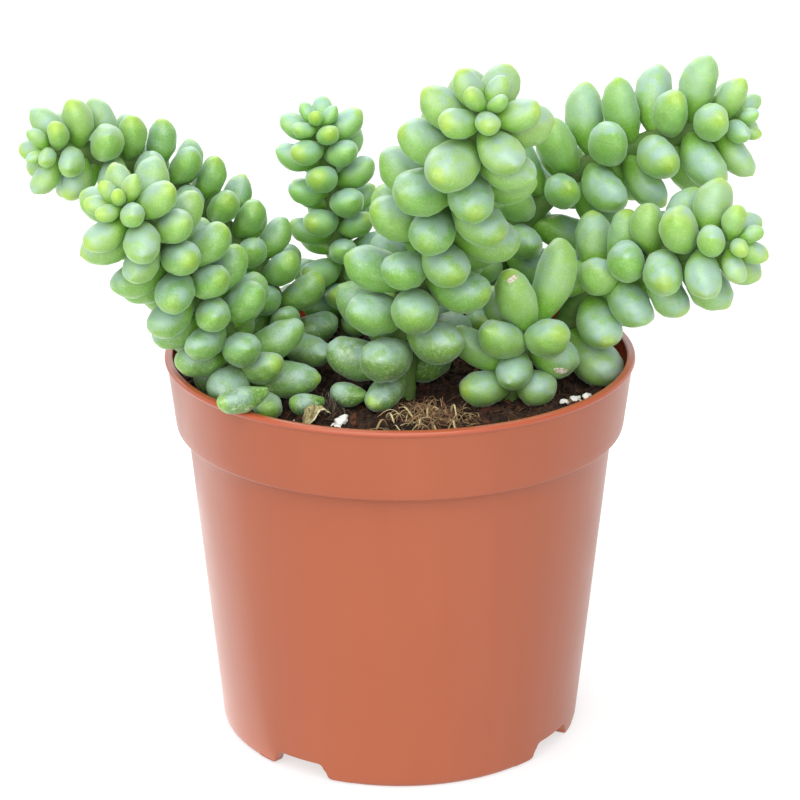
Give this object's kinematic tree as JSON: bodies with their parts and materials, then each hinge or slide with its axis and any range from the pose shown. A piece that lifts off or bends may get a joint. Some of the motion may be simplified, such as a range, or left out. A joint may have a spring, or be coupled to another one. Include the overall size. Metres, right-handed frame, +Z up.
{
  "type": "potted burros tail plant",
  "caption": "Potted burro's tail succulent: arching stems packed with plump leaves in a tapered terracotta-coloured plastic nursery pot of dark soil.",
  "frame": {"origin": "on the pot's axis, at the level of the surface it stands on", "axes": "+Z up along the pot's axis; the front, with the short stem, faces -Y; +X to the right as seen from the front"},
  "size_m": [0.1631, 0.105, 0.1606],
  "materials": {
    "pot": "moulded terracotta-coloured plastic with a satin gloss",
    "soil": "loose dark potting mix, crumbly and matt",
    "leaf": "plump green succulent leaf with a waxy satin bloom",
    "dry_leaf": "dried, papery, straw-coloured leaf",
    "perlite": "white expanded perlite grain, matt"
  },
  "bodies": {
    "root": {"pot": "pot", "soil": "soil", "stem_left_front": "leaf", "stem_left_back": "leaf", "stem_back": "leaf", "stem_centre": "leaf", "stem_right_back": "leaf", "stem_right_front": "leaf", "stem_short": "leaf", "fallen_leaf_over_rim": "leaf", "fallen_leaf_left": "leaf", "fallen_leaf_front": "leaf", "fallen_leaf_middle": "leaf", "dry_leaf": "dry_leaf", "perlite_1": "perlite", "perlite_2": "perlite", "perlite_3": "perlite", "perlite_4": "perlite", "perlite_5": "perlite", "perlite_6": "perlite", "perlite_7": "perlite"}
  },
  "joints": []
}
